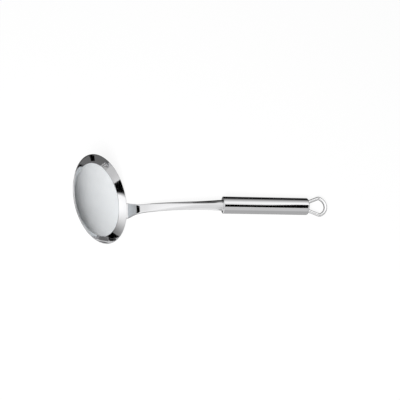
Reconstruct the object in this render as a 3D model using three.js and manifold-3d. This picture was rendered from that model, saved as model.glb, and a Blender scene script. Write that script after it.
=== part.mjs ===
// Kitchen skimmer: a fine mesh head in a polished collar, a waisted stem and a tubular handle with a loop.
// Millimetres, +Z up. The skimmer lies on a flat surface, handle along +X, mid-plane at Y = 0.
import * as THREE from 'three';
import { mergeGeometries, mergeVertices } from 'three/addons/utils/BufferGeometryUtils.js';
import Module from 'manifold-3d';

// Head: measured in its own frame, axis up the hollow side, with the top of the rim at height 0.
const RIM_RADIUS = 55;
const RIM_SLOPE = THREE.MathUtils.degToRad(29);
const RIM_THICKNESS = 1.2;
const RIM_WIDTH = 11.4;
const MESH_THICKNESS = 0.5;
const MESH_EDGE_RADIUS = 49.7;
const MESH_BEND_RADIUS = 45.2;
const MESH_BEND_SLOPE = THREE.MathUtils.degToRad(20);
// Square openings in place of the fine weave: how many across, the bar between two, and how far out.
const GRID_ACROSS = 12;
const GRID_BAR = 1.6;
const GRID_RADIUS = 43.6;
const CLAMP_THICKNESS = 0.8;
const CLAMP_OUTER_RADIUS = 50.4;
const CLAMP_INNER_RADIUS = 44.6;

// Handle: measured from the middle of its front end, +X to the rear, +Z on the hollow side of the head.
const TUBE_RADIUS = 10.65;
const TUBE_WALL = 1.2;
const HANDLE_LENGTH = 109.7;
const FRONT_ROUNDING = 1.2;
const REAR_ROUNDING = 2.2;
const CAP_SHOULDER = 0.6;
const CAP_WALL = 2.6;
const CAP_SKIRT = 4;
const CAP_SKIRT_WALL = 1.5;

// Hanging loop: a bent wire, flat in the handle's (X, Y).
const WIRE_RADIUS = 2.15;
const LEG_SPACING = 10.8;
const LEG_SPLAY = THREE.MathUtils.degToRad(22);
const LEG_INSIDE = 5;
const LOOP_WIDTH = 26.4;
const LOOP_REACH = 25.4;
const LOOP_CORNER_RADIUS = 4;

// Head on the handle: the lean of the head, and where the stem side of its rim lies.
const HEAD_LEAN = THREE.MathUtils.degToRad(53);
const RIM_AT_STEM = new THREE.Vector2(-116.8, -29);

// Lying on a surface, the handle drops this much towards its rear.
const REST_TILT = THREE.MathUtils.degToRad(5.303);

// Stem: the middle line bends from the handle down to a flat heel under the rim.
const STEM_LINE = [
  [5.5, -1], [-1.5, -1.2], [-27.5, -3.2], [-47, -5.7], [-76, -11.8], [-90, -16.6], [-102, -22.1],
  [-110, -26.9],
];
// Width and thickness of the stem at these distances in front of the handle.
const STEM_SIZES = [
  { at: -6, width: 13.7, thickness: 11 },
  { at: 1, width: 13.8, thickness: 11 },
  { at: 15, width: 12.1, thickness: 10 },
  { at: 28, width: 10.8, thickness: 8.8 },
  { at: 41, width: 10.2, thickness: 7 },
  { at: 54, width: 10, thickness: 5.2 },
  { at: 69, width: 10.2, thickness: 3.8 },
  { at: 84, width: 10.6, thickness: 3.1 },
  { at: 101, width: 11.5, thickness: 2.6 },
  { at: 107, width: 13.8, thickness: 2.2 },
  { at: 111, width: 16.5, thickness: 2 },
  { at: 114, width: 18.8, thickness: 2 },
  { at: 117, width: 20.2, thickness: 2 },
  { at: 124, width: 20.4, thickness: 2 },
];
const STEM_STEPS = 26;
const HEEL_LENGTH = 3;
const FOOT_LAP = 3.2;
const FOOT_THICKNESS = STEM_SIZES.at(-1).thickness;

// Touching pieces are set this far apart, so that each stays a solid of its own.
const GAP = 0.3;
const HEAD_TURNS = 64;
const HANDLE_TURNS = 40;

const POLISHED = { color: 0xd6d7d9, roughness: 0.06, metalness: 1 };
const WOVEN = { color: 0xb9bcc0, roughness: 0.45, metalness: 1 };

const wasm = await Module();
wasm.setup();

function solidFrom(geometry) {
  const bare = geometry.index ? geometry.toNonIndexed() : geometry.clone();
  bare.deleteAttribute('normal');
  bare.deleteAttribute('uv');
  const merged = mergeVertices(bare, 1e-4);
  return new wasm.Manifold(new wasm.Mesh({
    numProp: 3,
    vertProperties: new Float32Array(merged.attributes.position.array),
    triVerts: new Uint32Array(merged.index.array),
  }));
}

function geometryFrom(solid) {
  const mesh = solid.getMesh();
  const geometry = new THREE.BufferGeometry();
  geometry.setAttribute('position', new THREE.BufferAttribute(new Float32Array(mesh.vertProperties), 3));
  geometry.setIndex(new THREE.BufferAttribute(new Uint32Array(mesh.triVerts), 1));
  geometry.computeVertexNormals();
  return geometry;
}

function piece(name, geometry, look) {
  const mesh = new THREE.Mesh(geometry, new THREE.MeshStandardMaterial(look));
  mesh.name = name;
  return mesh;
}

// A closed outline in (radius, height) is turned about the height axis, which is +Z afterwards.
// LatheGeometry needs the outline to run upwards on its outer side.
function turned(outline, turns) {
  const upwards = THREE.ShapeUtils.area(outline) < 0 ? outline.slice().reverse() : outline;
  const profile = upwards.slice();
  const onAxis = Math.abs(profile[0].x) < 1e-6 && Math.abs(profile[profile.length - 1].x) < 1e-6;
  if (!onAxis) profile.push(profile[0].clone());
  return new THREE.LatheGeometry(profile, turns).rotateX(Math.PI / 2);
}

// A strip of even thickness along a line, with round ends.
function strip(line, thickness, endSteps = 4) {
  const half = thickness / 2;
  const sides = line.map((_, i) => {
    const before = line[Math.max(i - 1, 0)];
    const after = line[Math.min(i + 1, line.length - 1)];
    const along = after.clone().sub(before).normalize();
    return new THREE.Vector2(-along.y, along.x).multiplyScalar(half);
  });
  const cap = (centre, from) => Array.from({ length: endSteps - 1 }, (_, i) =>
    centre.clone().add(from.clone().rotateAround(new THREE.Vector2(), -Math.PI * (i + 1) / endSteps)));
  const last = line.length - 1;
  return [
    ...line.map((point, i) => point.clone().add(sides[i])),
    ...cap(line[last], sides[last]),
    ...line.map((point, i) => point.clone().sub(sides[i])).reverse(),
    ...cap(line[0], sides[0].clone().negate()),
  ];
}

// The rim's middle line, and the direction square to it on the under side.
const RIM_OUTER_END = new THREE.Vector2(RIM_RADIUS - RIM_THICKNESS / 2, -RIM_THICKNESS / 2);
const DOWN_RIM = new THREE.Vector2(-Math.cos(RIM_SLOPE), -Math.sin(RIM_SLOPE));
const UNDER_RIM = new THREE.Vector2(Math.sin(RIM_SLOPE), -Math.cos(RIM_SLOPE));

// A point at this radius on a line that runs the given distance under the rim's middle line.
function underRim(radius, distance) {
  const start = RIM_OUTER_END.clone().addScaledVector(UNDER_RIM, distance);
  return start.addScaledVector(DOWN_RIM, (radius - start.x) / DOWN_RIM.x);
}

function rimRing() {
  const inner = RIM_OUTER_END.clone().addScaledVector(DOWN_RIM, RIM_WIDTH - RIM_THICKNESS);
  return piece('rim_ring', turned(strip([RIM_OUTER_END, inner], RIM_THICKNESS), HEAD_TURNS), POLISHED);
}

// The mesh's edge lies flat under the rim, and its middle is part of a sphere.
const MESH_DEPTH_UNDER_RIM = RIM_THICKNESS / 2 + GAP + MESH_THICKNESS / 2;
const DISH_RADIUS = MESH_BEND_RADIUS / Math.sin(MESH_BEND_SLOPE);
const DISH_STEPS = 7;

// A square post through the dish for each opening that lies wholly inside the grid's radius.
function gridPosts() {
  const pitch = 2 * GRID_RADIUS / GRID_ACROSS;
  const side = pitch - GRID_BAR;
  const places = Array.from({ length: GRID_ACROSS }, (_, i) => (i - (GRID_ACROSS - 1) / 2) * pitch);
  const posts = places.flatMap((x) => places
    .filter((y) => Math.hypot(Math.abs(x) + side / 2, Math.abs(y) + side / 2) < GRID_RADIUS)
    .map((y) => new THREE.BoxGeometry(side, side, RIM_RADIUS).translate(x, y, 0)));
  return solidFrom(mergeGeometries(posts));
}

function meshScreen() {
  const bend = underRim(MESH_BEND_RADIUS, MESH_DEPTH_UNDER_RIM);
  const centre = bend.y + DISH_RADIUS * Math.cos(MESH_BEND_SLOPE);
  const arc = (radius) => Array.from({ length: DISH_STEPS + 1 }, (_, i) => {
    const angle = MESH_BEND_SLOPE * (1 - i / DISH_STEPS);
    return new THREE.Vector2(radius * Math.sin(angle), centre - radius * Math.cos(angle));
  });
  const half = MESH_THICKNESS / 2;
  const outline = [
    ...arc(DISH_RADIUS + half).reverse(),
    underRim(MESH_EDGE_RADIUS, MESH_DEPTH_UNDER_RIM + half),
    underRim(MESH_EDGE_RADIUS, MESH_DEPTH_UNDER_RIM - half),
    ...arc(DISH_RADIUS - half),
  ];
  const dish = solidFrom(turned(outline, HEAD_TURNS));
  return piece('mesh_screen', geometryFrom(dish.subtract(gridPosts())), WOVEN);
}

function clampRing() {
  const depth = MESH_DEPTH_UNDER_RIM + MESH_THICKNESS / 2 + GAP + CLAMP_THICKNESS / 2;
  const line = [underRim(CLAMP_OUTER_RADIUS, depth), underRim(CLAMP_INNER_RADIUS, depth)];
  return piece('clamp_ring', turned(strip(line, CLAMP_THICKNESS, 2), HEAD_TURNS), POLISHED);
}

// Head points of the mid-plane, (radius towards the stem, height), in the handle's (X, Z).
function onHandle(point) {
  const along = new THREE.Vector2(Math.cos(HEAD_LEAN), -Math.sin(HEAD_LEAN));
  const up = new THREE.Vector2(Math.sin(HEAD_LEAN), Math.cos(HEAD_LEAN));
  return RIM_AT_STEM.clone().addScaledVector(along, point.x - RIM_RADIUS).addScaledVector(up, point.y);
}

// The heel is flat on the surface when the skimmer lies down, and the foot then laps under the rim.
function stemLine() {
  const bend = new THREE.CatmullRomCurve3(STEM_LINE.map(([x, z]) => new THREE.Vector3(x, 0, z)));
  const points = bend.getSpacedPoints(STEM_STEPS).map((p) => new THREE.Vector2(p.x, p.z));
  const below = RIM_THICKNESS / 2 + GAP + FOOT_THICKNESS / 2;
  const lapStart = onHandle(RIM_OUTER_END.clone().addScaledVector(UNDER_RIM, below));
  const lapAlong = onHandle(RIM_OUTER_END.clone().add(DOWN_RIM)).sub(onHandle(RIM_OUTER_END));
  const table = new THREE.Vector2(Math.cos(REST_TILT), Math.sin(REST_TILT));
  const heelEnd = lapStart.clone();
  const heelStart = heelEnd.clone().addScaledVector(table, HEEL_LENGTH);
  const lapEnd = lapStart.clone().addScaledVector(lapAlong, FOOT_LAP);
  return [...points, heelStart, heelEnd, lapEnd];
}

const STEM_SMOOTH = new THREE.CubicInterpolant(
  STEM_SIZES.map((size) => size.at),
  STEM_SIZES.flatMap((size) => [size.width, size.thickness]),
  2,
);

function stemSize(x) {
  const [width, thickness] = STEM_SMOOTH.evaluate(-x);
  return { width, thickness };
}

// Section of the stem: flat faces and round edges, in (across, up).
const EDGE_STEPS = 4;

function stemSection({ width, thickness }) {
  const radius = thickness / 2;
  const flat = width / 2 - radius;
  const edge = (centre, from) => Array.from({ length: EDGE_STEPS + 1 }, (_, i) => {
    const angle = from + Math.PI * i / EDGE_STEPS;
    return new THREE.Vector2(centre + radius * Math.cos(angle), radius * Math.sin(angle));
  });
  return [...edge(flat, -Math.PI / 2), ...edge(-flat, Math.PI / 2)];
}

// Sections are set square to the middle line, halving the angle at each bend, and joined into one skin.
function stem() {
  const line = stemLine();
  const positions = [];
  const rings = line.map((point, i) => {
    const before = line[Math.max(i - 1, 0)];
    const after = line[Math.min(i + 1, line.length - 1)];
    const leaving = after.clone().sub(point).normalize();
    const along = point.clone().sub(before).normalize().add(leaving).normalize();
    const turn = i > 0 && i < line.length - 1 ? along.dot(leaving) : 1;
    const up = new THREE.Vector2(along.y, -along.x).multiplyScalar(1 / turn);
    return stemSection(stemSize(point.x)).map((s) =>
      new THREE.Vector3(point.x + up.x * s.y, s.x, point.y + up.y * s.y));
  });
  const triangle = (...corners) => corners.forEach((c) => positions.push(c.x, c.y, c.z));
  const count = rings[0].length;
  for (let i = 0; i + 1 < rings.length; i += 1) {
    for (let k = 0; k < count; k += 1) {
      const n = (k + 1) % count;
      triangle(rings[i][k], rings[i + 1][k], rings[i + 1][n]);
      triangle(rings[i][k], rings[i + 1][n], rings[i][n]);
    }
  }
  const first = rings[0];
  const last = rings[rings.length - 1];
  for (let k = 1; k + 1 < count; k += 1) {
    triangle(first[0], first[k], first[k + 1]);
    triangle(last[0], last[k + 1], last[k]);
  }
  const geometry = new THREE.BufferGeometry();
  geometry.setAttribute('position', new THREE.Float32BufferAttribute(positions, 3));
  geometry.computeVertexNormals();
  return piece('stem', geometry, POLISHED);
}

// Half outline of a cap, (radius, distance from the end), with its skirt reaching into the tube.
const SKIRT_RADIUS = TUBE_RADIUS - TUBE_WALL - GAP;
const ROUNDING_STEPS = 6;

function capShape(rounding) {
  const shoulder = rounding + CAP_SHOULDER;
  const corner = Array.from({ length: ROUNDING_STEPS + 1 }, (_, i) => {
    const angle = Math.PI / 2 * i / ROUNDING_STEPS;
    const flat = TUBE_RADIUS - rounding;
    return new THREE.Vector2(flat + rounding * Math.sin(angle), rounding - rounding * Math.cos(angle));
  });
  const outline = [
    new THREE.Vector2(0, 0),
    ...corner,
    new THREE.Vector2(TUBE_RADIUS, shoulder),
    new THREE.Vector2(SKIRT_RADIUS, shoulder),
    new THREE.Vector2(SKIRT_RADIUS, shoulder + CAP_SKIRT),
    new THREE.Vector2(SKIRT_RADIUS - CAP_SKIRT_WALL, shoulder + CAP_SKIRT),
    new THREE.Vector2(SKIRT_RADIUS - CAP_SKIRT_WALL, CAP_WALL),
    new THREE.Vector2(0, CAP_WALL),
  ];
  return turned(outline, HANDLE_TURNS);
}

// The cap's end faces -X; the slot clears the stem's tang all round.
function frontCap() {
  const { width, thickness } = stemSize(0);
  const slot = new THREE.Shape();
  const radius = thickness / 2 + GAP;
  const flat = width / 2 - thickness / 2;
  slot.absarc(0, flat, radius, 0, Math.PI, false);
  slot.absarc(0, -flat, radius, Math.PI, 2 * Math.PI, false);
  const tool = new THREE.ExtrudeGeometry(slot, {
    depth: 3 * CAP_WALL,
    bevelEnabled: false,
    curveSegments: 6,
  });
  tool.translate(0, 0, -CAP_WALL).rotateY(Math.PI / 2);
  tool.translate(0, 0, STEM_LINE[1][1]);
  const body = solidFrom(capShape(FRONT_ROUNDING).rotateY(Math.PI / 2));
  return piece('front_cap', geometryFrom(body.subtract(solidFrom(tool))), POLISHED);
}

function handleTube() {
  const from = FRONT_ROUNDING + CAP_SHOULDER + GAP;
  const to = HANDLE_LENGTH - REAR_ROUNDING - CAP_SHOULDER - GAP;
  const outline = [
    new THREE.Vector2(TUBE_RADIUS, from),
    new THREE.Vector2(TUBE_RADIUS, to),
    new THREE.Vector2(TUBE_RADIUS - TUBE_WALL, to),
    new THREE.Vector2(TUBE_RADIUS - TUBE_WALL, from),
  ];
  return piece('handle_tube', turned(outline, HANDLE_TURNS).rotateY(Math.PI / 2), POLISHED);
}

// The loop's middle line: two splayed legs, a corner arc on each, and a wide far arc that touches both.
const LEG_ALONG = new THREE.Vector2(Math.cos(LEG_SPLAY), Math.sin(LEG_SPLAY));
const LEG_OUTWARD = new THREE.Vector2(-LEG_ALONG.y, LEG_ALONG.x);
const LEG_AT_CAP = new THREE.Vector2(HANDLE_LENGTH, LEG_SPACING / 2);

function loopPath() {
  const bend = LOOP_CORNER_RADIUS;
  const corner = new THREE.Vector2(0, LOOP_WIDTH / 2 - WIRE_RADIUS - bend);
  corner.x = LEG_AT_CAP.x + (LEG_ALONG.x * (corner.y - LEG_AT_CAP.y) + bend) / LEG_ALONG.y;
  const farEnd = HANDLE_LENGTH + LOOP_REACH - WIRE_RADIUS;
  const short = farEnd - corner.x;
  const farRadius = (short ** 2 + corner.y ** 2 - bend ** 2) / (2 * (short - bend));
  const farCentre = farEnd - farRadius;
  const meet = Math.atan2(corner.y, corner.x - farCentre);
  const leave = LEG_OUTWARD.angle();
  const inside = LEG_AT_CAP.clone().addScaledVector(LEG_ALONG, -LEG_INSIDE / LEG_ALONG.x);
  const legEnd = corner.clone().addScaledVector(LEG_OUTWARD, bend);
  const path = new THREE.Path().moveTo(inside.x, inside.y).lineTo(legEnd.x, legEnd.y);
  path.absarc(corner.x, corner.y, bend, leave, meet, true);
  path.absarc(farCentre, 0, farRadius, meet, -meet, true);
  path.absarc(corner.x, -corner.y, bend, -meet, -leave, true);
  return path.lineTo(inside.x, -inside.y);
}

// A flat path as a curve in space, at height 0.
class LevelCurve extends THREE.Curve {
  constructor(path) {
    super();
    this.path = path;
  }

  getPoint(t, target = new THREE.Vector3()) {
    const p = this.path.getPointAt(t);
    return target.set(p.x, p.y, 0);
  }
}

const LOOP_STEPS = 44;
const WIRE_SEGMENTS = 6;

function hangingLoop() {
  const section = new THREE.Shape().absarc(0, 0, WIRE_RADIUS, 0, 2 * Math.PI, false);
  const geometry = new THREE.ExtrudeGeometry(section, {
    steps: LOOP_STEPS,
    curveSegments: WIRE_SEGMENTS,
    extrudePath: new LevelCurve(loopPath()),
    bevelEnabled: false,
  });
  return piece('hanging_loop', geometry, POLISHED);
}

// The cap's end faces +X, with a slanted hole for each leg of the loop.
function rearCap() {
  let body = solidFrom(capShape(REAR_ROUNDING).rotateY(-Math.PI / 2).translate(HANDLE_LENGTH, 0, 0));
  for (const side of [-1, 1]) {
    const hole = new THREE.CylinderGeometry(WIRE_RADIUS + GAP, WIRE_RADIUS + GAP, 4 * CAP_WALL, 16);
    hole.rotateZ(side * LEG_SPLAY - Math.PI / 2).translate(LEG_AT_CAP.x, side * LEG_AT_CAP.y, 0);
    body = body.subtract(solidFrom(hole));
  }
  return piece('rear_cap', geometryFrom(body), POLISHED);
}

function head() {
  const group = new THREE.Group();
  group.add(rimRing(), meshScreen(), clampRing());
  const middle = onHandle(new THREE.Vector2(0, 0));
  group.position.set(middle.x, 0, middle.y);
  group.rotation.y = HEAD_LEAN;
  return group;
}

function skimmer() {
  const lying = new THREE.Group();
  lying.add(head(), stem(), frontCap(), handleTube(), rearCap(), hangingLoop());
  lying.rotation.y = REST_TILT;
  const box = new THREE.Box3().setFromObject(lying, true);
  const middle = box.getCenter(new THREE.Vector3());
  lying.position.set(-middle.x, -middle.y, -box.min.z);
  const whole = new THREE.Group();
  whole.add(lying);
  return whole;
}

export default skimmer();
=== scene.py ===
# %% [markdown]
# # A kitchen skimmer, dressed for a photograph
#
# The skimmer is polished steel: a round head of fine woven mesh in a sloping collar, a waisted stem, a
# tubular handle and a bent wire loop for hanging. The solids of the part are already packed in one frame,
# in metres, with the skimmer lying on a table. This lesson loads that frame, rebuilds every piece with a
# finer skin and a finish of its own, and lights it like a catalogue picture.

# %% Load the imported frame
from math import atan2, cos, pi, radians, sin, sqrt, tan

import bmesh
import bpy
import numpy as np
from mathutils import Matrix, Vector


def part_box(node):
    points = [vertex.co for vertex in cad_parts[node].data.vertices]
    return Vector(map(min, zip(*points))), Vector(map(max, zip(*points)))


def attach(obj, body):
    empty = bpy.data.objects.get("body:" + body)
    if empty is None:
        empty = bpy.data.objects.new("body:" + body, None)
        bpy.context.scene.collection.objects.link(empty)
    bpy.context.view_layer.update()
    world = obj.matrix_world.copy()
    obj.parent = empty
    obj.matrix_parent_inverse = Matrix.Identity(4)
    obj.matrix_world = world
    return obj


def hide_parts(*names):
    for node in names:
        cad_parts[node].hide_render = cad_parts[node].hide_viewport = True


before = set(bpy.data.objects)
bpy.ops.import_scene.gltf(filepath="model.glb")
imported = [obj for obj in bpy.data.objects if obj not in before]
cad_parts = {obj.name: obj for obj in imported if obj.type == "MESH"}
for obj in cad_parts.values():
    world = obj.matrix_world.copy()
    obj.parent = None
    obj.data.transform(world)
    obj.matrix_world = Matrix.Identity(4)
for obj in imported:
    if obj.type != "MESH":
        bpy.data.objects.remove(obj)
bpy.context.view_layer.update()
print("nodes of the part:", sorted(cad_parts))

# %% [markdown]
# ## The camera
#
# The picture looks down on the skimmer from 71 degrees above the table, a little from one side and with a
# slight roll. A camera could be aimed with a constraint, but a constraint can't give the roll. Three turns
# in a row can: round the vertical for the side, tipped back for the height, and round its own line of sight
# for the roll.

# %% Camera
MM = 0.001
AIM_POINT = Vector((-5.2, 7.7, 18.2)) * MM
CAMERA_DISTANCE = 1.0
SIDE, HEIGHT, ROLL = radians(-10.95), radians(70.9), radians(9.73)
SENSOR_WIDTH, LENS_LENGTH = 36, 71.95

camera_turn = (
    Matrix.Rotation(SIDE, 4, "Z") @ Matrix.Rotation(pi / 2 - HEIGHT, 4, "X") @ Matrix.Rotation(ROLL, 4, "Z")
)
camera = bpy.data.objects.new("camera", bpy.data.cameras.new("camera"))
bpy.context.collection.objects.link(camera)
camera.matrix_world = (
    Matrix.Translation(AIM_POINT) @ camera_turn @ Matrix.Translation((0, 0, CAMERA_DISTANCE))
)
camera.data.sensor_width = SENSOR_WIDTH
camera.data.lens = LENS_LENGTH
bpy.context.scene.camera = camera
bpy.context.scene.view_settings.view_transform = "Standard"
print("camera stands at", [round(v, 3) for v in camera.matrix_world.translation])

# %% [markdown]
# ## Two frames to work in
#
# A turned piece is easy to draw when its axis is one of the axes of the drawing, and hard to draw when it
# leans. So the handle and the head each get a frame: the handle's starts at the middle of its front end
# with +X to the rear, and the head's starts at the middle of the rim with +Z up out of the hollow side. A
# piece is drawn in its frame in millimetres and carried to its place at the end.

# %% Handle frame and head frame
REST_TILT, HEAD_LEAN = radians(5.303), radians(53)
TUBE_FROM, TUBE_TO = 2.1, 106.6
RIM_RADIUS = 55
RIM_AT_STEM = Vector((-116.8, 0, -29))

low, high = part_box("handle_tube")
handle_turn = Matrix.Rotation(REST_TILT, 4, "Y")
handle_start = (low + high) / 2 - handle_turn @ Vector(((TUBE_FROM + TUBE_TO) / 2, 0, 0)) * MM
handle_frame = Matrix.Translation(handle_start) @ handle_turn @ Matrix.Scale(MM, 4)
rim_middle = RIM_AT_STEM - RIM_RADIUS * Vector((cos(HEAD_LEAN), 0, -sin(HEAD_LEAN)))
head_on_handle = Matrix.Translation(rim_middle) @ Matrix.Rotation(HEAD_LEAN, 4, "Y")
head_frame = handle_frame @ head_on_handle
print("handle starts at", [round(1000 * v, 2) for v in handle_frame.translation])
print("rim's middle is at", [round(1000 * v, 2) for v in head_frame.translation])

# %% [markdown]
# ## Finishing a piece
#
# Every piece ends the same way: it is carried from its drawing frame to its place, its faces are made to
# point outwards, and it is shaded smooth except at true corners. It then rides on the part's one body and
# takes the place of its solid. Each piece could repeat those lines, but a step that is forgotten once is
# hard to find, so two helpers do it.

# %% Helpers that finish a piece
SHARP_CORNER = radians(38)
MERGE_DISTANCE = 1e-4


def seat(name, mesh, node):
    """Makes a mesh that is already in its place a piece of the part."""
    mesh.shade_smooth()
    mesh.set_sharp_from_angle(angle=SHARP_CORNER)
    piece = bpy.data.objects.new(name, mesh)
    bpy.context.collection.objects.link(piece)
    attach(piece, "root")
    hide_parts(node)
    triangles = sum(len(face.vertices) - 2 for face in mesh.polygons)
    print(f"{name}: {len(mesh.vertices)} vertices, {triangles} triangles")
    return piece


def carry(shape, name, place, node):
    """Closes a drawn shape, carries it from its drawing frame to its place and seats it."""
    bmesh.ops.remove_doubles(shape, verts=shape.verts, dist=MERGE_DISTANCE)
    bmesh.ops.recalc_face_normals(shape, faces=shape.faces)
    bmesh.ops.transform(shape, matrix=place, verts=shape.verts)
    mesh = bpy.data.meshes.new(name)
    shape.to_mesh(mesh)
    shape.free()
    return seat(name, mesh, node)


# %% [markdown]
# ## The collar
#
# The collar is a flat band of sheet steel, rolled into a cone that slopes down into the head, with both its
# edges rounded over and polished. It could be a cone with a Solidify modifier, but then the edges would be
# square. Drawing the band's cross-section, rounding its corners and spinning it keeps the edges round, and a
# mirror finish shows any edge that isn't.

# %% Helper: a closed section turned about an axis
ROUNDING_SEGMENTS = 8


def turned(corners, rounded, axis, steps):
    """Corners are (along, out) pairs; rounded gives the radius at some of them."""
    shape = bmesh.new()
    out = Vector((1, 0, 0)) if axis.z else Vector((0, 0, 1))
    ring = [shape.verts.new(axis * along + out * away) for along, away in corners]
    shape.faces.new(ring)
    for index, radius in rounded.items():
        bmesh.ops.bevel(
            shape, geom=[ring[index]], offset=radius, segments=ROUNDING_SEGMENTS, profile=0.5,
            affect="VERTICES", material=-1,
        )
    bmesh.ops.delete(shape, geom=shape.faces[:], context="FACES_ONLY")
    bmesh.ops.spin(
        shape, geom=shape.edges[:], cent=(0, 0, 0), axis=axis, angle=2 * pi, steps=steps, use_merge=True,
    )
    return shape


# %% Helper: a sloping band of the head
RIM_SLOPE = radians(29)
INWARD = Vector((-sin(RIM_SLOPE), -cos(RIM_SLOPE)))
UNDER = Vector((-cos(RIM_SLOPE), sin(RIM_SLOPE)))
HEAD_AXIS = Vector((0, 0, 1))
EDGE_ROUNDING = 0.49


def sloping_band(outer_end, width, thickness, steps):
    """A band that slopes as the collar does, from the (height, radius) of its outer end, with round edges."""
    half_wall = UNDER * thickness / 2
    inner_end = outer_end + INWARD * width
    corners = [outer_end - half_wall, inner_end - half_wall, inner_end + half_wall, outer_end + half_wall]
    return turned(corners, {i: EDGE_ROUNDING * thickness for i in range(4)}, HEAD_AXIS, steps)


# %% Collar
COLLAR_WIDTH, COLLAR_THICKNESS = 11.4, 1.2
COLLAR_STEPS = 192
INSIDE_SOLID = 0.03

edge_middle = Vector((-COLLAR_THICKNESS / 2, RIM_RADIUS - INSIDE_SOLID - COLLAR_THICKNESS / 2))
collar_edge = edge_middle - INWARD * COLLAR_THICKNESS / 2
collar = carry(
    sloping_band(collar_edge, COLLAR_WIDTH, COLLAR_THICKNESS, COLLAR_STEPS),
    "collar", head_frame, "rim_ring",
)

# %% [markdown]
# ## The clamp ring
#
# Behind the collar a second, narrower ring holds the edge of the mesh against it. Nobody sees it from the
# front, so it could be left out, but the skimmer gets turned over in the hand. It is spun from a section as
# the collar is, and measured from the collar's middle line, so that it follows the slope. It is kept thin
# and close, because a thicker ring would peep out past the collar where that is seen edge on.

# %% Clamp ring
CLAMP_OUTER, CLAMP_INNER, CLAMP_THICKNESS = 50.8, 47.0, 0.6
CLAMP_DEPTH = 1.42
CLAMP_STEPS = 160


def below_collar(radius, depth):
    """(height, radius) of a point under the collar's middle line."""
    start = edge_middle + UNDER * depth
    return start + INWARD * ((radius - start.y) / INWARD.y)


clamp_edge = below_collar(CLAMP_OUTER, CLAMP_DEPTH)
clamp_width = (clamp_edge - below_collar(CLAMP_INNER, CLAMP_DEPTH)).length
clamp = carry(
    sloping_band(clamp_edge, clamp_width, CLAMP_THICKNESS, CLAMP_STEPS),
    "clamp_band", head_frame, "clamp_ring",
)

# %% [markdown]
# ## The woven mesh
#
# The head is a shallow dish of wire cloth. A sheet with a see-through pattern would do from far away, but
# real wires pass over and under each other, and catch the light as they do. So every wire is drawn: a curve
# through the crossings, a little above the dish at one and a little below it at the next. Curves with a
# round bevel and few sides stay light, and they are made into a mesh at the end.
#
# From a step away the eye sees cloth and not wires, and the many tiny round sides would only flicker. So the
# shading normals are turned most of the way to the dish, and the cloth shades as one surface.

# %% Shape of the dish
DISH_BEND_RADIUS, DISH_EDGE_RADIUS = 45.2, 49.6
DISH_BEND_SLOPE = radians(20)
DISH_DEPTH = 0.86

dish_sphere = DISH_BEND_RADIUS / sin(DISH_BEND_SLOPE)
dish_top = below_collar(DISH_BEND_RADIUS, DISH_DEPTH).x + dish_sphere * cos(DISH_BEND_SLOPE)


def dish(radius):
    """Height of the dish: a part of a sphere, and near the collar a cone that runs along under it."""
    if radius < DISH_BEND_RADIUS:
        return dish_top - sqrt(dish_sphere**2 - radius**2)
    return below_collar(radius, DISH_DEPTH).x


print(f"the dish is {-dish(0):.1f} mm deep")


# %% Helpers: a round wire as a curve, and its mesh
def round_wire(name, radius, roundness):
    """A curve, still without a line, that gets a round section."""
    wire = bpy.data.curves.new(name, "CURVE")
    wire.dimensions = "3D"
    wire.bevel_depth, wire.bevel_resolution = radius, roundness
    wire.use_fill_caps = True
    return wire


def mesh_of_wire(wire, place):
    """The mesh of a wire's curve, carried from its drawing frame to its place."""
    guide = bpy.data.objects.new(wire.name, wire)
    bpy.context.collection.objects.link(guide)
    mesh = bpy.data.meshes.new_from_object(guide.evaluated_get(bpy.context.evaluated_depsgraph_get()))
    bpy.data.objects.remove(guide)
    mesh.name = wire.name
    mesh.transform(place)
    return mesh


# %% Helper: cloth shading
CLOTH_SHARE = 0.95


def shade_as_cloth(mesh):
    """Turns the shading normals of the wires most of the way to the dish, on its two sides."""
    corners = np.empty(len(mesh.loops), int)
    mesh.loops.foreach_get("vertex_index", corners)
    places = np.empty(3 * len(mesh.vertices))
    mesh.vertices.foreach_get("co", places)
    facing = np.empty(3 * len(mesh.polygons))
    mesh.polygons.foreach_get("normal", facing)
    face_sizes = np.empty(len(mesh.polygons), int)
    mesh.polygons.foreach_get("loop_total", face_sizes)
    facing = np.repeat(facing.reshape(-1, 3), face_sizes, axis=0)
    to_middle = np.array(head_frame @ Vector((0, 0, dish_top))) - places.reshape(-1, 3)[corners]
    to_middle /= np.linalg.norm(to_middle, axis=1)[:, None]
    to_middle *= np.where((to_middle * facing).sum(axis=1) < 0, -1, 1)[:, None]
    mixed = CLOTH_SHARE * to_middle + (1 - CLOTH_SHARE) * facing
    mesh.normals_split_custom_set((mixed / np.linalg.norm(mixed, axis=1)[:, None]).tolist())


# %% Wires of the mesh
PITCH, MESH_WIRE, MESH_ROUNDNESS = 0.65, 0.23, 0
FEWEST_CROSSINGS = 2


def weave(name, across):
    """Wires along the head's X, or across it, that pass over and under the wires of the other set."""
    cloth = round_wire(name, MESH_WIRE / 2, MESH_ROUNDNESS)
    last = int(DISH_EDGE_RADIUS / PITCH)
    for i in range(-last, last + 1):
        reach = int(sqrt(DISH_EDGE_RADIUS**2 - (i * PITCH) ** 2) / PITCH)
        if reach < FEWEST_CROSSINGS:
            continue
        strand = cloth.splines.new("POLY")
        strand.points.add(2 * reach)
        for point, j in zip(strand.points, range(-reach, reach + 1)):
            over = MESH_WIRE / 2 * (1 if (i + j + across) % 2 else -1)
            x, y = (i, j) if across else (j, i)
            point.co = (x * PITCH, y * PITCH, dish(PITCH * sqrt(i * i + j * j)) + over, 1)
    mesh = mesh_of_wire(cloth, head_frame)
    piece = seat(name, mesh, "mesh_screen")
    shade_as_cloth(mesh)
    return piece


long_wires = weave("mesh_long_wires", 0)
cross_wires = weave("mesh_cross_wires", 1)

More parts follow.
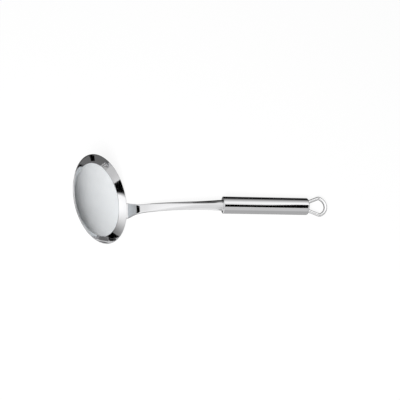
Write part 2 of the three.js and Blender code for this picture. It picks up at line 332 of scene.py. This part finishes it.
# %% [markdown]
# ## The stem
#
# The stem is one forged bar: a tang in the handle, a waist, a flare where it meets the head, and a thin foot
# that bends twice to lie flat on the table and then lap under the collar. It could be extruded section by
# section. Here a cylinder is subdivided along its length instead, and each of its rings is moved to its
# station on the stem's middle line and squeezed to the width and thickness there. Its section starts as an
# oval at the handle and gets squarer towards the foot.

# %% Helpers: lines in the handle's mid-plane
LINE_STEP = 0.1


def on_handle(point):
    """A (height, radius) point on the stem's side of the head, in the handle's (x, z)."""
    place = head_on_handle @ Vector((point.y, 0, point.x))
    return np.array((place.x, place.z))


def through(points):
    """A smooth line through points, at an even step."""
    points = np.array(points, float)
    reach = np.concatenate([[0], np.cumsum(np.linalg.norm(np.diff(points, axis=0), axis=1))])
    slope = np.gradient(points, reach, axis=0)
    line = []
    for i in range(len(points) - 1):
        gap = reach[i + 1] - reach[i]
        for t in np.arange(0, 1, LINE_STEP / gap):
            line.append(
                (1 + 2 * t) * (1 - t) ** 2 * points[i] + t * (1 - t) ** 2 * gap * slope[i]
                + t * t * (3 - 2 * t) * points[i + 1] + t * t * (t - 1) * gap * slope[i + 1]
            )
    return line


def straight(start, end):
    count = int(np.linalg.norm(end - start) / LINE_STEP)
    return [start + (end - start) * i / count for i in range(count + 1)]


# %% Middle line of the stem
SHANK_POINTS = [
    (5.5, -1), (-1.5, -1.2), (-27.5, -3.2), (-47, -5.7), (-76, -11.8), (-88, -15.85), (-97, -19.85),
    (-106.3, -24.05),
]
FOOT_DEPTH, HEEL_LENGTH, FOOT_LAP = 1.9, 3, 3.2
EASED_OVER = 13

shank_end = np.array(SHANK_POINTS[-1], float)
heel_end = on_handle(edge_middle + UNDER * FOOT_DEPTH)
heel_start = heel_end + HEEL_LENGTH * np.array((cos(REST_TILT), sin(REST_TILT)))
foot_end = on_handle(edge_middle + UNDER * FOOT_DEPTH + INWARD * FOOT_LAP)
bent_line = np.array(
    through(SHANK_POINTS) + straight(shank_end, heel_start)[:-1] + straight(heel_start, heel_end)[:-1]
    + straight(heel_end, foot_end)
)
ends_kept = EASED_OVER // 2
window = np.ones(EASED_OVER) / EASED_OVER
eased = np.apply_along_axis(lambda v: np.convolve(v, window, "valid"), 0, bent_line)
stem_line = np.concatenate([bent_line[:ends_kept], eased, bent_line[-ends_kept:]])
stem_reach = np.concatenate([[0], np.cumsum(np.linalg.norm(np.diff(stem_line, axis=0), axis=1))])
print(f"the stem's middle line is {stem_reach[-1]:.1f} mm long")

# %% Sizes along the stem
SIZE_STATIONS = [-6, 1, 15, 28, 41, 54, 69, 84, 101, 107, 111, 114, 117, 124]
STEM_WIDTHS = [13.7, 13.8, 12.1, 10.8, 10.2, 10.0, 10.2, 10.6, 11.5, 13.8, 16.5, 18.8, 20.2, 20.4]
STEM_THICKNESSES = [11.0, 11.0, 10.0, 8.8, 7.0, 5.2, 3.8, 3.1, 2.6, 2.2, 2.0, 2.0, 2.0, 2.0]
SQUARENESS_AT, SQUARENESS = (20, 35, 58, 80, 95, 112), (1.8, 2.0, 3.0, 4.5, 8.0, 9.0)
BENT_LENGTH, SHANK_RINGS, BENT_RINGS, RING_GAP = 16, 80, 52, 0.3

width_line = np.array(through(list(zip(SIZE_STATIONS, STEM_WIDTHS))))
thickness_line = np.array(through(list(zip(SIZE_STATIONS, STEM_THICKNESSES))))
bent_from = stem_reach[-1] - BENT_LENGTH
ring_places = np.concatenate([
    np.linspace(0, bent_from, SHANK_RINGS),
    np.linspace(bent_from + RING_GAP, stem_reach[-1], BENT_RINGS),
])
print(f"the stem has {len(ring_places)} rings and is {width_line[:, 1].min():.1f} mm wide at its waist")

# %% Stem
STEM_SIDES = 48
HEADING_STEP = 0.25
END_ROUNDING, END_SEGMENTS = 0.35, 3


def on_stem(reach):
    """The (x, z) of the stem's middle line, so far along it."""
    return np.array([np.interp(reach, stem_reach, stem_line[:, k]) for k in (0, 1)])


bar = bmesh.new()
bmesh.ops.create_cone(bar, segments=STEM_SIDES, radius1=1, radius2=1, depth=1, cap_ends=True)
lengthwise = [e for e in bar.edges if abs(e.verts[0].co.z - e.verts[1].co.z) > 0.5]
bmesh.ops.subdivide_edges(bar, edges=lengthwise, cuts=len(ring_places) - 2, use_grid_fill=True)
for vert in bar.verts:
    ring_place = ring_places[round((vert.co.z + 0.5) * (len(ring_places) - 1))]
    x, z = on_stem(ring_place)
    heading = on_stem(ring_place + HEADING_STEP) - on_stem(ring_place - HEADING_STEP)
    heading /= np.linalg.norm(heading)
    width = np.interp(-x, width_line[:, 0], width_line[:, 1])
    thickness = np.interp(-x, thickness_line[:, 0], thickness_line[:, 1])
    power = 2 / np.interp(-x, SQUARENESS_AT, SQUARENESS)
    sideways = np.sign(vert.co.y) * abs(vert.co.y) ** power * width / 2
    rise = np.sign(vert.co.x) * abs(vert.co.x) ** power * thickness / 2
    vert.co = (x + heading[1] * rise, sideways, z - heading[0] * rise)
end_rims = [e for e in bar.edges if any(len(f.verts) > 4 for f in e.link_faces)]
bmesh.ops.bevel(
    bar, geom=end_rims, offset=END_ROUNDING, segments=END_SEGMENTS, profile=0.5, affect="EDGES", material=-1,
)
stem = carry(bar, "stem_bar", handle_frame, "stem")

# %% [markdown]
# ## The handle
#
# The handle is a polished tube with a pressed cap in each end. The caps are rounded and their joints with
# the tube are polished away to a hairline. One closed capsule would look much the same, but then there would
# be no hairline. So each of the three is a section spun about the handle's axis, with the rounding of a cap
# made by bevelling one corner of its section before the spin.

# %% Sections of the caps and the tube
TUBE_RADIUS, TUBE_WALL = 10.64, 1.2
HANDLE_LENGTH = 109.7
FRONT_ROUNDING, REAR_ROUNDING = 1.2, 2.2
SHOULDER, CAP_WALL, SKIRT = 0.75, 2.6, 4.0
SKIRT_OUTER, SKIRT_INNER = 9.15, 7.65
HAIRLINE = 0.02


def cap_section(end, inwards, rounding):
    """A cap with a rounded rim, a short shoulder and a skirt that fits in the tube."""
    joint = rounding + SHOULDER
    depths = [0, 0, joint, joint, joint + SKIRT, joint + SKIRT, CAP_WALL, CAP_WALL]
    radii = [0, TUBE_RADIUS, TUBE_RADIUS, SKIRT_OUTER, SKIRT_OUTER, SKIRT_INNER, SKIRT_INNER, 0]
    return [(end + inwards * depth, radius) for depth, radius in zip(depths, radii)]


tube_from = FRONT_ROUNDING + SHOULDER + HAIRLINE
tube_to = HANDLE_LENGTH - REAR_ROUNDING - SHOULDER - HAIRLINE
tube_section = [
    (tube_from, TUBE_RADIUS), (tube_to, TUBE_RADIUS),
    (tube_to, TUBE_RADIUS - TUBE_WALL), (tube_from, TUBE_RADIUS - TUBE_WALL),
]
print(f"the tube runs from {tube_from:.2f} to {tube_to:.2f} mm")

# %% Tube and caps
HANDLE_AXIS = Vector((1, 0, 0))
HANDLE_STEPS = 160
RIM_CORNER = 1


def handle_piece(section, rounded, name, node):
    shape = turned(section, rounded, HANDLE_AXIS, HANDLE_STEPS)
    return carry(shape, name, handle_frame, node)


tube = handle_piece(tube_section, {}, "handle_tube_skin", "handle_tube")
front_cap = handle_piece(
    cap_section(0, 1, FRONT_ROUNDING), {RIM_CORNER: FRONT_ROUNDING}, "front_cap_skin", "front_cap",
)
rear_cap = handle_piece(
    cap_section(HANDLE_LENGTH, -1, REAR_ROUNDING), {RIM_CORNER: REAR_ROUNDING}, "rear_cap_skin", "rear_cap",
)

# %% [markdown]
# ## The hanging loop
#
# The loop is one bent wire: two legs that leave the handle splayed, a tight bend on each, and a wide arc
# that closes them. It could be swept round a path of vertices, but a curve with a round bevel is the natural
# way to draw a wire. Its points lie on the straight legs and on the three arcs, which touch each other
# without a kink.

# %% Line of the loop
LOOP_WIRE = 2.15
LEG_SPLAY, LEG_HALF_SPACING, LEG_INSIDE = radians(22), 5.4, 5
LOOP_WIDTH, LOOP_REACH, LOOP_BEND = 26.4, 25.4, 4.0
BEND_STEPS, FAR_ARC_STEPS = 18, 24

bend_y = LOOP_WIDTH / 2 - LOOP_WIRE - LOOP_BEND
bend_x = HANDLE_LENGTH + (cos(LEG_SPLAY) * (bend_y - LEG_HALF_SPACING) + LOOP_BEND) / sin(LEG_SPLAY)
far_end = HANDLE_LENGTH + LOOP_REACH - LOOP_WIRE
past_bend = far_end - bend_x
far_radius = (past_bend**2 + bend_y**2 - LOOP_BEND**2) / (2 * (past_bend - LOOP_BEND))
meet = atan2(bend_y, bend_x - far_end + far_radius)


def arc(centre_x, centre_y, radius, start, end, steps):
    return [
        (centre_x + radius * cos(a), centre_y + radius * sin(a))
        for a in (start + (end - start) * i / steps for i in range(steps + 1))
    ]


leg_start = (HANDLE_LENGTH - LEG_INSIDE, LEG_HALF_SPACING - LEG_INSIDE * tan(LEG_SPLAY))
leg_and_bend = [leg_start] + arc(bend_x, bend_y, LOOP_BEND, pi / 2 + LEG_SPLAY, meet, BEND_STEPS)
far_arc = arc(far_end - far_radius, 0, far_radius, meet, -meet, FAR_ARC_STEPS)[1:-1]
loop_line = leg_and_bend + far_arc + [(x, -y) for x, y in reversed(leg_and_bend)]
print(f"the loop's far arc has a radius of {far_radius:.1f} mm")

# %% Hanging loop
LOOP_ROUNDNESS = 8

loop_wire = round_wire("hanging_loop_wire", LOOP_WIRE, LOOP_ROUNDNESS)
bent = loop_wire.splines.new("POLY")
bent.points.add(len(loop_line) - 1)
for point, (x, y) in zip(bent.points, loop_line):
    point.co = (x, y, 0, 1)
loop_mesh = mesh_of_wire(loop_wire, handle_frame)
loop = seat("hanging_loop_wire", loop_mesh, "hanging_loop")

# %% [markdown]
# ## Shader sums as Python
#
# A finish is a small graph of nodes. Wiring it by hand hides the sum that it works out, so a socket is
# wrapped in a class that knows plus, minus and times. An expression then adds its own Math nodes, and one
# method adds any other node.

# %% A socket that can be reckoned with
class Feed:
    def __init__(self, tree, socket=None):
        self.tree, self.socket = tree, socket

    def node(self, kind, settings=None, inputs=None, output=0):
        made = self.tree.nodes.new(kind)
        for name, value in (settings or {}).items():
            setattr(made, name, value)
        for name, value in (inputs or {}).items():
            if isinstance(value, Feed):
                self.tree.links.new(value.socket, made.inputs[name])
            else:
                made.inputs[name].default_value = value
        return Feed(self.tree, made.outputs[output] if made.outputs else None)

    def math(self, operation, first, second):
        return self.node("ShaderNodeMath", {"operation": operation}, {0: first, 1: second})

    def __add__(self, other):
        return self.math("ADD", self, other)

    def __radd__(self, other):
        return self.math("ADD", other, self)

    def __sub__(self, other):
        return self.math("SUBTRACT", self, other)

    def __rsub__(self, other):
        return self.math("SUBTRACT", other, self)

    def __mul__(self, other):
        return self.math("MULTIPLY", self, other)

    def __rmul__(self, other):
        return self.math("MULTIPLY", other, self)

    def __truediv__(self, other):
        return self.math("DIVIDE", self, other)

    def __pow__(self, other):
        return self.math("POWER", self, other)

    def at_least(self, least):
        return self.math("MAXIMUM", self, least)

    def at_most(self, most):
        return self.math("MINIMUM", self, most)

    def clamped(self):
        return self.node("ShaderNodeClamp", {}, {"Value": self})

    def ramp(self, start, end):
        """0 at start and before it, 1 at end and past it."""
        return ((self - start) / (end - start)).clamped()

    def part(self, axis):
        return self.node("ShaderNodeSeparateXYZ", {}, {"Vector": self}, output="XYZ"[axis])

    def noise(self, scale, detail):
        return self.node("ShaderNodeTexNoise", {}, {"Vector": self, "Scale": scale, "Detail": detail})


# %% Helpers for finishes
MIX_FIRST_COLOUR, MIX_SECOND_COLOUR, MIX_COLOUR_OUT = 6, 7, 2


def new_finish(name):
    finish = bpy.data.materials.new(name)
    finish.use_nodes = True
    finish.node_tree.nodes.clear()
    return finish, Feed(finish.node_tree)


def mixed_colour(feed, share, first, second):
    return feed.node(
        "ShaderNodeMix", {"data_type": "RGBA"},
        {"Factor": share, MIX_FIRST_COLOUR: (*first, 1), MIX_SECOND_COLOUR: (*second, 1)},
        output=MIX_COLOUR_OUT,
    )


def spot_in(feed, place):
    """Object coordinates in a piece's frame, in metres."""
    return feed.node(
        "ShaderNodeMapping", {"vector_type": "TEXTURE"},
        {
            "Vector": feed.node("ShaderNodeTexCoord", output="Object"),
            "Location": place.translation, "Rotation": place.to_euler(),
        },
    )


def put_on(pieces, finish):
    for piece in pieces:
        piece.data.materials.clear()
        piece.data.materials.append(finish)
    print(f"{finish.name}: on {[piece.name for piece in pieces]}")


# %% [markdown]
# ## Polished steel
#
# Polishing leaves a mirror with a memory of the wheel: faint marks, under half a millimetre apart, that run
# the way the wheel ran, and a slow waviness that bends reflections a little. The marks run round the
# collar, round the tube and along the stem. They could be painted in a picture for each piece, but so fine
# a picture would have to be very large. So each finish turns Object coordinates into the frame of its
# piece, and reads a noise along one direction there for the roughness and for a very shallow bump. The
# stem is the sharpest mirror and the handle the truest, while the drawn wire of the loop is softer and
# brighter than both.

# %% Polished finishes
STEEL, BRIGHT_STEEL, DULLED = (0.80, 0.80, 0.81), (0.97, 0.97, 0.975), 0.925
MARK_PITCH, MARK_DETAIL, MARK_GRIT, MARK_HEIGHT = 0.0004, 3.0, 0.6, 0.15
WAVE_SCALE, WAVE_DETAIL = 70.0, 1.0
RELIEF_STRENGTH, RELIEF_HEIGHT = 0.2, 0.00001
MARKS_DULL, WAVES_DULL = 0.5, 0.3
MARKS_SOFTEN, WAVES_SOFTEN = 0.04, 0.02


def polished(name, pieces, place, marks_run, softness, waviness, steel=STEEL):
    finish, feed = new_finish(name)
    spot = spot_in(feed, place)
    x, y = spot.part(0), spot.part(1)
    if marks_run == "round the head":
        across = (x * x + y * y) ** 0.5
    else:
        across = x if marks_run == "round the handle" else y
    marks = feed.node(
        "ShaderNodeTexNoise", {"noise_dimensions": "1D"},
        {"W": across / MARK_PITCH, "Detail": MARK_DETAIL, "Roughness": MARK_GRIT},
    )
    waves = spot.noise(WAVE_SCALE, WAVE_DETAIL)
    relief = feed.node(
        "ShaderNodeBump", {},
        {
            "Strength": RELIEF_STRENGTH, "Distance": RELIEF_HEIGHT,
            "Height": marks * MARK_HEIGHT + waves * waviness,
        },
    )
    dull_steel = tuple(DULLED * v for v in steel)
    shine = feed.node(
        "ShaderNodeBsdfPrincipled", {},
        {
            "Base Color": mixed_colour(feed, marks * MARKS_DULL + waves * WAVES_DULL, steel, dull_steel),
            "Metallic": 1.0,
            "Roughness": softness + marks * MARKS_SOFTEN + waves * WAVES_SOFTEN,
            "Normal": relief,
        },
    )
    feed.node("ShaderNodeOutputMaterial", {}, {"Surface": shine})
    put_on(pieces, finish)


polished("collar_polish", [collar, clamp], head_frame, "round the head", softness=0.03, waviness=6.0)
polished(
    "handle_polish", [tube, front_cap, rear_cap], handle_frame, "round the handle",
    softness=0.03, waviness=1.0,
)
polished("stem_polish", [stem], handle_frame, "along the stem", softness=0.015, waviness=2.0)
polished(
    "wire_polish", [loop], handle_frame, "round the handle", softness=0.2, waviness=6.0, steel=BRIGHT_STEEL,
)

# %% [markdown]
# ## Woven wire
#
# The wires of the mesh are drawn bright and then annealed, which leaves them satin: they don't mirror, they
# glow. A full metal would mirror the room in every wire, and at this size that is only noise, so the finish
# is mostly a dull one with a little metal in it. Patches of the cloth differ a little, as the wires lie a
# little higher or lower there.

# %% Finish of the mesh
PALE_WIRE, GREY_WIRE = (0.86, 0.90, 0.925), (0.80, 0.84, 0.87)
PATCH_SCALE, PATCH_DETAIL = 45.0, 2.0
GRAIN_SCALE, GRAIN_DETAIL, GRAIN_HEIGHT = 2400.0, 1.0, 0.00002
WIRE_METAL, WIRE_SOFTNESS, PATCHES_SOFTEN, GRAIN_SOFTENS = 0.2, 0.42, 0.08, 0.04

cloth_finish, cloth_feed = new_finish("mesh_satin")
cloth_spot = spot_in(cloth_feed, head_frame)
patches = cloth_spot.noise(PATCH_SCALE, PATCH_DETAIL)
grain = cloth_spot.noise(GRAIN_SCALE, GRAIN_DETAIL)
grain_relief = cloth_feed.node(
    "ShaderNodeBump", {}, {"Strength": RELIEF_STRENGTH, "Distance": GRAIN_HEIGHT, "Height": grain},
)
satin = cloth_feed.node(
    "ShaderNodeBsdfPrincipled", {},
    {
        "Base Color": mixed_colour(cloth_feed, patches, PALE_WIRE, GREY_WIRE),
        "Metallic": WIRE_METAL,
        "Roughness": WIRE_SOFTNESS + patches * PATCHES_SOFTEN + grain * GRAIN_SOFTENS,
        "Normal": grain_relief,
    },
)
cloth_feed.node("ShaderNodeOutputMaterial", {}, {"Surface": satin})
put_on([long_wires, cross_wires], cloth_finish)

# %% [markdown]
# ## The table
#
# The skimmer lies on a plain white table. A table could be lit until it is white, but the same light would
# bleach the mesh. So the white that the camera and the metal see is mostly the table's own glow, and the
# rest is the light that falls on it, so that the skimmer still leaves a soft shadow.

# %% Table
TABLE_SIZE = 6.0
TABLE_GLOW, TABLE_WHITE = 0.91, 0.08

top = bmesh.new()
bmesh.ops.create_grid(top, x_segments=1, y_segments=1, size=TABLE_SIZE / 2)
table_mesh = bpy.data.meshes.new("table")
top.to_mesh(table_mesh)
top.free()
table = bpy.data.objects.new("table", table_mesh)
bpy.context.collection.objects.link(table)

table_finish, table_feed = new_finish("white_table")
by_camera, by_metal, by_glass = (
    table_feed.node("ShaderNodeLightPath", output=f"Is {kind} Ray")
    for kind in ("Camera", "Glossy", "Transmission")
)
seen = (by_camera + by_metal + by_glass).clamped()
own_glow = table_feed.node("ShaderNodeEmission", {}, {"Strength": seen * TABLE_GLOW})
matt = table_feed.node("ShaderNodeBsdfDiffuse", {}, {"Color": (TABLE_WHITE, TABLE_WHITE, TABLE_WHITE, 1)})
glow_and_matt = table_feed.node("ShaderNodeAddShader", {}, {0: own_glow, 1: matt})
table_feed.node("ShaderNodeOutputMaterial", {}, {"Surface": glow_and_matt})
table.data.materials.append(table_finish)
print("table is", TABLE_SIZE, "m wide")

# %% [markdown]
# ## The sky of the studio
#
# Polished steel has no look of its own: it shows the studio. A catalogue photographer hangs a bright cloth
# overhead, lights the walls and leaves the far side dark. A picture of a studio could be wrapped round the
# scene, but a sum on the direction of the look is easier to tune: it brightens upwards, has a lit wall on
# the near side and at the handle's end, and a soft box beyond the handle. The camera sees plain white, and
# the sky lights the mesh only faintly, because the lamp does that.

# %% Sky
LEAST_LEVEL = 0.0001
CEILING, CEILING_FAR_GAIN = 0.88, 0.8
RISE_GAIN, RISE_POWER, RISE_START = 1.2, 1.15, 0.05
HEAD_END_GAIN = 0.4
WALL, WALL_HEAD_GAIN, WALL_BRIGHTENS, WALL_ENDS = 0.67, 0.19, (0.15, 0.03), (0.5, 0.8)
FAR_SIDE_DARKENS = (0.37, 0.97)
SOFTBOX, SOFTBOX_EDGE, SOFTBOX_POWER, SOFTBOX_GLOW = (0.74, 0.198, 0.643), 0.72, 2.0, 0.65
LESS_ON_MATT = 0.92

world = bpy.data.worlds.new("studio")
bpy.context.scene.world = world
world.use_nodes = True
world.node_tree.nodes.clear()
sky_feed = Feed(world.node_tree)
look = sky_feed.node("ShaderNodeTexCoord", output="Generated")
handle_way, far_way, upwards = (look.part(k) for k in range(3))
head_way = (0 - handle_way).at_least(0.0)

rising = (RISE_GAIN * upwards.at_least(0.0) ** RISE_POWER - RISE_START).at_least(0.0)
overhead = rising.at_most(CEILING + CEILING_FAR_GAIN * far_way.at_least(0.0)) * (1 + HEAD_END_GAIN * head_way)
wall_glow = WALL + WALL_HEAD_GAIN * handle_way.ramp(*WALL_BRIGHTENS)
lit_wall = overhead.at_least(wall_glow * (1 - head_way.ramp(*WALL_ENDS)))
level = (1 - upwards * upwards).at_least(LEAST_LEVEL) ** 0.5
dark_side = (far_way / level).ramp(*FAR_SIDE_DARKENS)
towards_box = sky_feed.node(
    "ShaderNodeVectorMath", {"operation": "DOT_PRODUCT"}, {0: look, 1: SOFTBOX}, output="Value",
)
softbox = towards_box.ramp(SOFTBOX_EDGE, 1.0) ** SOFTBOX_POWER * SOFTBOX_GLOW
studio = overhead * dark_side + lit_wall * (1 - dark_side) + softbox

camera_ray = sky_feed.node("ShaderNodeLightPath", output="Is Camera Ray")
matt_ray = sky_feed.node("ShaderNodeLightPath", output="Is Diffuse Ray")
shown = studio * (1 - LESS_ON_MATT * matt_ray)
backdrop = sky_feed.node(
    "ShaderNodeBackground", {}, {"Color": (1, 1, 1, 1), "Strength": shown * (1 - camera_ray) + camera_ray},
)
sky_feed.node("ShaderNodeOutputWorld", {}, {"Surface": backdrop})
print("sky: bright overhead, dark towards +Y")

# %% [markdown]
# ## Cards
#
# A mirror needs something dark to have an edge against, so the photographer lays dark cards on the table and
# stands some around. They could be real boards, but a real board throws a shadow and bounces light. These
# are seen by reflections only. A card close to the steel darkens a patch of the piece beside it, and a card
# far off darkens whatever faces its way.

# %% Helpers for cards
def card(name, middle, size, aim=None, roll=0.0, grey=0.0, fade=0.0):
    """A card that only reflections see. It lies flat, or faces a point, and may fade out at one end."""
    sheet = bmesh.new()
    sheet.loops.layers.uv.new("card")
    bmesh.ops.create_grid(sheet, x_segments=1, y_segments=1, size=0.5, calc_uvs=True)
    bmesh.ops.scale(sheet, vec=(*size, 1), verts=sheet.verts)
    place = Matrix.Translation(middle)
    if aim:
        place @= (aim - Vector(middle)).to_track_quat("Z", "Y").to_matrix().to_4x4()
    bmesh.ops.transform(sheet, matrix=place @ Matrix.Rotation(roll, 4, "Z"), verts=sheet.verts)
    mesh = bpy.data.meshes.new(name)
    sheet.to_mesh(mesh)
    sheet.free()
    made = bpy.data.objects.new(name, mesh)
    bpy.context.collection.objects.link(made)
    made.visible_camera = made.visible_diffuse = made.visible_shadow = made.visible_transmission = False
    paint, feed = new_finish(name)
    face = feed.node("ShaderNodeEmission", {}, {"Strength": grey})
    if fade:
        along = feed.node("ShaderNodeTexCoord", output="UV").part(0)
        clear = feed.node("ShaderNodeBsdfTransparent")
        face = feed.node("ShaderNodeMixShader", {}, {0: along.ramp(1 - fade, 1), 1: face, 2: clear})
    feed.node("ShaderNodeOutputMaterial", {}, {"Surface": face})
    mesh.materials.append(paint)
    print(f"{name}: {size[0]:.3f} x {size[1]:.3f} m")


def beyond(start, side, up, distance):
    """The point that a mirror at start sees, so many degrees to the side of +X and up."""
    turn = Matrix.Rotation(radians(side), 3, "Z") @ Matrix.Rotation(radians(-up), 3, "Y")
    return start + turn @ Vector((distance, 0, 0))


# %% Cards on the table
CARD_LAYER = 0.0003
NEAR_HALF_TO, GREY_FROM, LEFT_TO = -0.013, 0.02, -0.17
BLACK_FROM_X, BLACK_FROM_Y = -0.05, 0.044
BIG, DEEP, BLACK_DEEP = 5.0, 2.5, 2.4

near_middle = NEAR_HALF_TO - DEEP / 2
card("dark_table_card", (0, NEAR_HALF_TO + DEEP / 2, CARD_LAYER), (BIG, DEEP), grey=0.16)
card("grey_table_card", (GREY_FROM + BIG / 2, near_middle, CARD_LAYER), (BIG, DEEP), grey=0.5)
card("left_table_card", (LEFT_TO - DEEP / 2, near_middle, CARD_LAYER), (DEEP, DEEP), grey=0.1)
card(
    "black_table_card", (BLACK_FROM_X + DEEP / 2, BLACK_FROM_Y + BLACK_DEEP / 2, 2 * CARD_LAYER),
    (DEEP, BLACK_DEEP),
)
card("black_strip_card", (-0.0505, 0.0365, 3 * CARD_LAYER), (0.021, 0.017), roll=radians(-23))

# %% Cards around the skimmer
COLLAR_AT_STEM = Vector((-0.108, 0.028, 0.018))
COLLAR_AT_TIP = Vector((-0.147, 0.028, 0.077))
STEM_NECK = Vector((-0.075, 0.002, 0.012))
STEM_FOOT = Vector((-0.09, -0.003, 0.005))

card(
    "black_card_far", beyond(COLLAR_AT_STEM, side=-6.4, up=26.5, distance=0.8), (0.23, 0.30),
    aim=COLLAR_AT_STEM, roll=radians(135), fade=0.25,
)
card(
    "black_card_beside_stem", beyond(STEM_NECK, side=63, up=34, distance=0.2), (0.062, 0.060),
    aim=STEM_NECK, grey=0.02,
)
card("dark_card_beside_head", (-0.106, 0.134, 0.150), (0.14, 0.046), aim=STEM_FOOT, grey=0.2)
card("black_card_over_handle", (0.475, -0.47, 0.90), (0.50, 0.64))
card(
    "black_card_high", beyond(COLLAR_AT_TIP, side=-9, up=58.5, distance=5.0), (1.3, 1.5), aim=COLLAR_AT_TIP,
)

# %% [markdown]
# ## A soft lamp
#
# The sky's faint, even light would leave the cloth of the head flat. One soft lamp above the near side, a
# little beyond the head's tip, lights the hollow and leaves the dish's raised side in shade. A sun would
# do that too, but with hard shadows. Reflections don't see the lamp, because the sky has its bright patches
# already.

# %% Lamp
LAMP_WIDTH, LAMP_POWER = 0.45, 25.2
LAMP_PLACE, LAMP_AIM = Vector((-0.27, -0.60, 1.16)), Vector((-0.1, 0, 0.03))

lamp = bpy.data.objects.new("soft_lamp", bpy.data.lights.new("soft_lamp", "AREA"))
lamp.data.shape = "DISK"
lamp.data.size = LAMP_WIDTH
lamp.data.energy = LAMP_POWER
lamp.location = LAMP_PLACE
lamp.rotation_euler = (LAMP_AIM - LAMP_PLACE).to_track_quat("-Z", "Y").to_euler()
lamp.visible_glossy = False
bpy.context.collection.objects.link(lamp)
print("lamp:", lamp.data.energy, "W")
